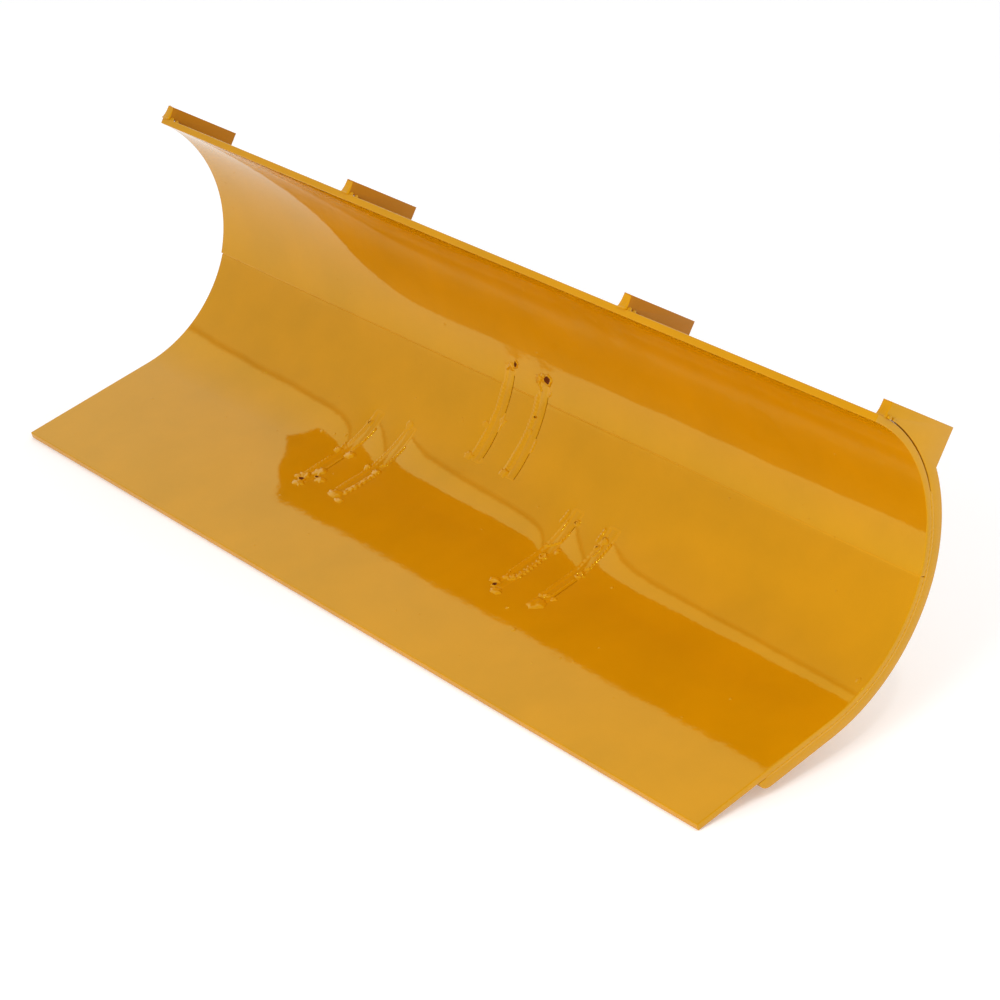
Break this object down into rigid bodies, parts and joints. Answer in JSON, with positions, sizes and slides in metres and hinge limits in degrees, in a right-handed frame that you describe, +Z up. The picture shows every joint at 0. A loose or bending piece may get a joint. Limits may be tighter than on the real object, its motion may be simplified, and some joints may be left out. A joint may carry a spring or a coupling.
{
  "type": "skid steer bucket",
  "caption": "Open rolled steel bucket shell with a flat cutting lip, back ribs that end in square ears above the top edge, and paired pin lugs set through slots in the shell.",
  "frame": {"origin": "middle of the rectangle that the bucket covers on the ground, standing on its lip and its lower lugs", "axes": "+X along the lip, +Y from the lip towards the loader, +Z up"},
  "size_m": [1.2, 0.384, 0.385],
  "materials": {
    "shell_paint": "gloss yellow-orange enamel",
    "rib_paint": "gloss yellow-orange enamel on plate edges",
    "lug_paint": "gloss yellow-orange enamel",
    "weld_paint": "gloss yellow-orange enamel over weld beads"
  },
  "bodies": {
    "root": {"floor_plate": "shell_paint", "lug_lower_left_left": "lug_paint", "lug_lower_left_right": "lug_paint", "lug_lower_right_left": "lug_paint", "lug_lower_right_right": "lug_paint", "lug_upper_left": "lug_paint", "lug_upper_right": "lug_paint", "rib_left_end": "rib_paint", "rib_left_inner": "rib_paint", "rib_right_end": "rib_paint", "rib_right_inner": "rib_paint", "upper_plate": "shell_paint", "weld_ear_left_end": "weld_paint", "weld_ear_left_inner": "weld_paint", "weld_ear_right_end": "weld_paint", "weld_ear_right_inner": "weld_paint", "weld_lug_lower_left_left_a": "weld_paint", "weld_lug_lower_left_left_b": "weld_paint", "weld_lug_lower_left_right_a": "weld_paint", "weld_lug_lower_left_right_b": "weld_paint", "weld_lug_lower_right_left_a": "weld_paint", "weld_lug_lower_right_left_b": "weld_paint", "weld_lug_lower_right_right_a": "weld_paint", "weld_lug_lower_right_right_b": "weld_paint", "weld_lug_upper_left_a": "weld_paint", "weld_lug_upper_left_b": "weld_paint", "weld_lug_upper_right_a": "weld_paint", "weld_lug_upper_right_b": "weld_paint", "weld_rib_left_end_b_high": "weld_paint", "weld_rib_left_end_b_low": "weld_paint", "weld_rib_left_inner_a_high": "weld_paint", "weld_rib_left_inner_a_low": "weld_paint", "weld_rib_left_inner_b_high": "weld_paint", "weld_rib_left_inner_b_low": "weld_paint", "weld_rib_right_end_a_high": "weld_paint", "weld_rib_right_end_a_low": "weld_paint", "weld_rib_right_inner_a_high": "weld_paint", "weld_rib_right_inner_a_low": "weld_paint", "weld_rib_right_inner_b_high": "weld_paint", "weld_rib_right_inner_b_low": "weld_paint", "weld_seam_1": "weld_paint", "weld_seam_2": "weld_paint", "weld_seam_3": "weld_paint", "weld_seam_4": "weld_paint", "weld_seam_5": "weld_paint", "weld_slot_lower_left_left": "weld_paint", "weld_slot_lower_left_right": "weld_paint", "weld_slot_lower_right_left": "weld_paint", "weld_slot_lower_right_right": "weld_paint", "weld_slot_upper_left": "weld_paint", "weld_slot_upper_right": "weld_paint"}
  },
  "joints": []
}
